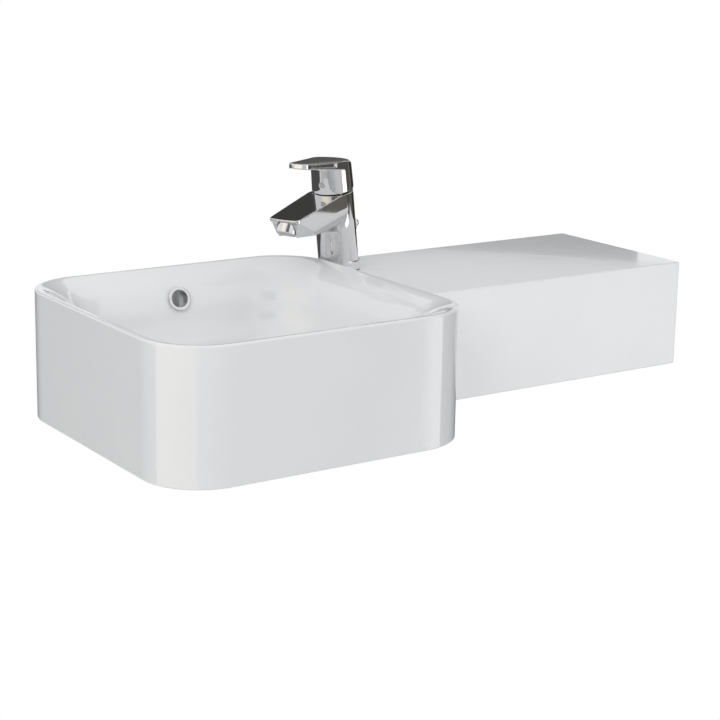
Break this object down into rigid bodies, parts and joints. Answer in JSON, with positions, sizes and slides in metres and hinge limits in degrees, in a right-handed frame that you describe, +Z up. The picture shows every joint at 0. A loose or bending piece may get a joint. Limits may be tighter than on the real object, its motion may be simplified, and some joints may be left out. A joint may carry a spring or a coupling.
{
  "type": "wall-hung basin",
  "caption": "Wall-hung ceramic basin with a raised square bowl, a lower side shelf, a leaning single-lever tap and a pop-up waste worked by a rod.",
  "frame": {"origin": "midway between the two wall fixing holes, on the back face that meets the wall", "axes": "+X to the right along the wall, +Y towards the wall, +Z up"},
  "size_m": [0.8, 0.37, 0.3332],
  "materials": {
    "glazed_ceramic": "glossy white glaze",
    "chrome": "polished chrome plate",
    "steel": "plain drawn steel",
    "brass": "turned brass",
    "rubber": "matt black rubber",
    "plastic": "moulded off-white plastic",
    "disc_ceramic": "lapped technical ceramic"
  },
  "bodies": {
    "fixed": {"basin": "glazed_ceramic", "overflow_ring": "chrome", "wall_bushes": "plastic", "waste_flange": "chrome", "flange_seal": "rubber", "lower_washer": "rubber", "slip_washer": "plastic", "backnut": "brass", "waste_tee": "chrome", "tee_seal": "rubber", "tailpiece": "chrome", "tail_seal": "rubber", "ball_seat": "plastic", "ball_gasket": "rubber", "ball_nut": "chrome", "tap_body": "chrome", "base_seal": "rubber", "tap_stud": "steel", "horseshoe_washer": "rubber", "horseshoe_plate": "brass", "stud_nut": "brass", "cartridge_housing": "plastic", "cartridge_seals": "rubber", "disc_fixed": "disc_ceramic", "cartridge_nut": "brass", "dome_ring": "chrome", "aerator_casing": "chrome", "aerator_insert": "plastic", "aerator_seal": "rubber"},
    "handle": {"cartridge_stem": "brass", "lever_handle": "chrome", "handle_screw": "steel", "button": "plastic"},
    "swivel": {"cartridge_rotor": "plastic", "disc_moving": "disc_ceramic", "stem_pin": "steel"},
    "lift_rod": {"lift_rod": "chrome", "lift_knob": "chrome", "rod_clamp": "brass", "clamp_screw": "steel"},
    "ball_lever": {"ball_lever": "steel"},
    "plug": {"plug_cap": "chrome", "plug_seal": "rubber", "plug_stem": "plastic"}
  },
  "joints": [
    {"name": "handle_swivel", "type": "hinge", "parent": "fixed", "child": "swivel", "pos_m": [-0.0145, -0.05763, 0.18999], "axis": [-0.1558, -0.0766, 0.9848], "range_deg": [-45, 45]},
    {"name": "handle_lift", "type": "hinge", "parent": "swivel", "child": "handle", "pos_m": [-0.0145, -0.05763, 0.18999], "axis": [-0.4413, 0.8973, 0], "range_deg": [0, 20]},
    {"name": "rod_slide", "type": "slide", "parent": "fixed", "child": "lift_rod", "axis": [0.365, 0.1795, 0.9135], "range_m": [0, 0.036]},
    {"name": "lever_pivot", "type": "hinge", "parent": "fixed", "child": "ball_lever", "pos_m": [-0.18589, -0.14346, -0.0615], "axis": [0.3978, -0.9175, 0], "range_deg": [0, 12.1]},
    {"name": "plug_slide", "type": "slide", "parent": "fixed", "child": "plug", "axis": [0, 0, -1], "range_m": [0, 0.00611]}
  ],
  "couplings": [
    {"joint": "lever_pivot", "follows": "rod_slide", "rad_per_m": 5.8409},
    {"joint": "plug_slide", "follows": "rod_slide", "ratio": 0.16907}
  ]
}
